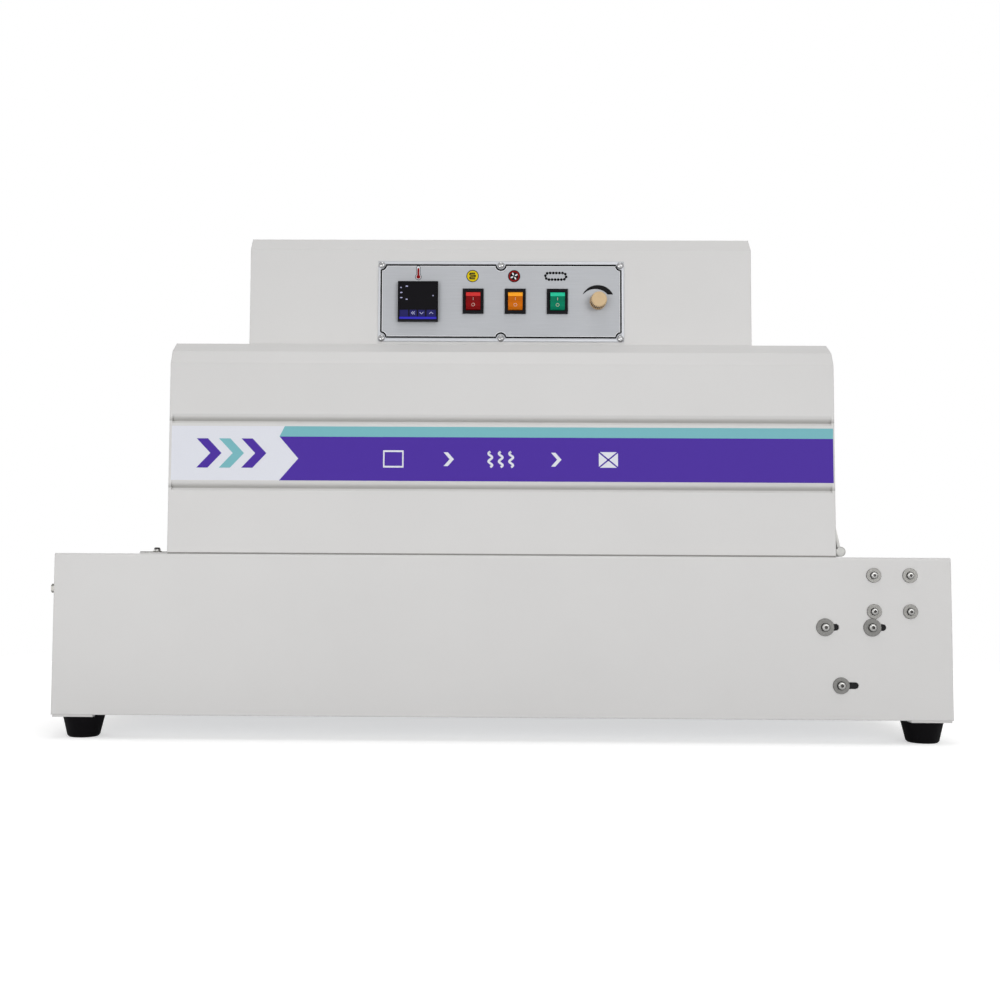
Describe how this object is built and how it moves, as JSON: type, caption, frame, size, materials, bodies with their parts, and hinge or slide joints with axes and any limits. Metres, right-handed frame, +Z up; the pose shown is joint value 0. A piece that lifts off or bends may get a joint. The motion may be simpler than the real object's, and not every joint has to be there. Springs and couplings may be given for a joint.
{
  "type": "heat shrink tunnel",
  "caption": "Bench-top heat shrink tunnel: a sheet-steel base with a roller-chain conveyor, a tunnel hood with hanging curtains and a control box on top.",
  "frame": {"origin": "middle of the footprint, on the surface that the feet stand on", "axes": "+X along the conveyor from the entry to the exit, -Y the operator's side with the controls, +Z up"},
  "size_m": [1.0254, 0.43, 0.592],
  "materials": {
    "powder_coat": "satin powder coat",
    "zinc_sheet": "zinc plated",
    "foot_rubber": "matt",
    "dark_steel": "oiled",
    "cast_housing": "cast",
    "zinc_steel": "zinc plated",
    "roller_steel": "drawn tube",
    "motor_aluminium": "die cast",
    "liner_steel": "rolled sheet",
    "heater_steel": "heat tinted",
    "curtain_cloth": "coated glass cloth",
    "plate_aluminium": "brushed, printed",
    "black_plastic": "moulded",
    "red_plastic": "moulded",
    "orange_plastic": "moulded",
    "green_plastic": "moulded",
    "knob_plastic": "moulded"
  },
  "bodies": {
    "frame": {"front_side_panel": "powder_coat", "rear_side_panel": "powder_coat", "left_end_plate": "powder_coat", "right_end_plate": "powder_coat", "left_foot_bar": "powder_coat", "right_foot_bar": "powder_coat", "bottom_plate": "zinc_sheet", "rubber_feet": "foot_rubber", "drive_shaft": "dark_steel", "idler_shaft": "dark_steel", "drive_bearings": "cast_housing", "takeup_blocks": "cast_housing", "takeup_screws": "zinc_steel", "front_chain": "dark_steel", "rear_chain": "dark_steel", "carrying_rollers": "roller_steel", "return_rollers": "roller_steel", "chain_rails": "zinc_sheet", "motor_mount": "dark_steel", "gearmotor": "motor_aluminium", "hood_shell": "powder_coat", "left_hood_end": "powder_coat", "right_hood_end": "powder_coat", "tunnel_liner": "liner_steel", "heater_tubes": "heater_steel", "hanging_bars": "roller_steel", "fan_box": "powder_coat", "left_box_end": "powder_coat", "right_box_end": "powder_coat", "control_plate": "plate_aluminium", "temperature_controller": "black_plastic", "switch_bezels": "black_plastic", "speed_control": "zinc_steel", "cable_inlet": "black_plastic"},
    "red_rocker": {"red_rocker": "red_plastic"},
    "orange_rocker": {"orange_rocker": "orange_plastic"},
    "green_rocker": {"green_rocker": "green_plastic"},
    "speed_knob": {"speed_knob": "knob_plastic"},
    "entry_curtain": {"entry_curtain": "curtain_cloth"},
    "exit_curtain": {"exit_curtain": "curtain_cloth"}
  },
  "joints": [
    {"name": "red_switch", "type": "hinge", "parent": "frame", "child": "red_rocker", "pos_m": [-0.0323, -0.1595, 0.5135], "axis": [-1, 0, 0], "range_deg": [0, 18]},
    {"name": "orange_switch", "type": "hinge", "parent": "frame", "child": "orange_rocker", "pos_m": [0.018, -0.1595, 0.5135], "axis": [-1, 0, 0], "range_deg": [0, 18]},
    {"name": "green_switch", "type": "hinge", "parent": "frame", "child": "green_rocker", "pos_m": [0.0683, -0.1595, 0.5135], "axis": [-1, 0, 0], "range_deg": [0, 18]},
    {"name": "speed_setting", "type": "hinge", "parent": "frame", "child": "speed_knob", "pos_m": [0.1168, -0.1595, 0.5135], "axis": [0, 1, 0], "range_deg": [0, 270]},
    {"name": "entry_curtain_swing", "type": "hinge", "parent": "frame", "child": "entry_curtain", "pos_m": [-0.3765, 0, 0.346], "axis": [0, -1, 0], "range_deg": [0, 70]},
    {"name": "exit_curtain_swing", "type": "hinge", "parent": "frame", "child": "exit_curtain", "pos_m": [0.3765, 0, 0.346], "axis": [0, -1, 0], "range_deg": [0, 70]}
  ]
}
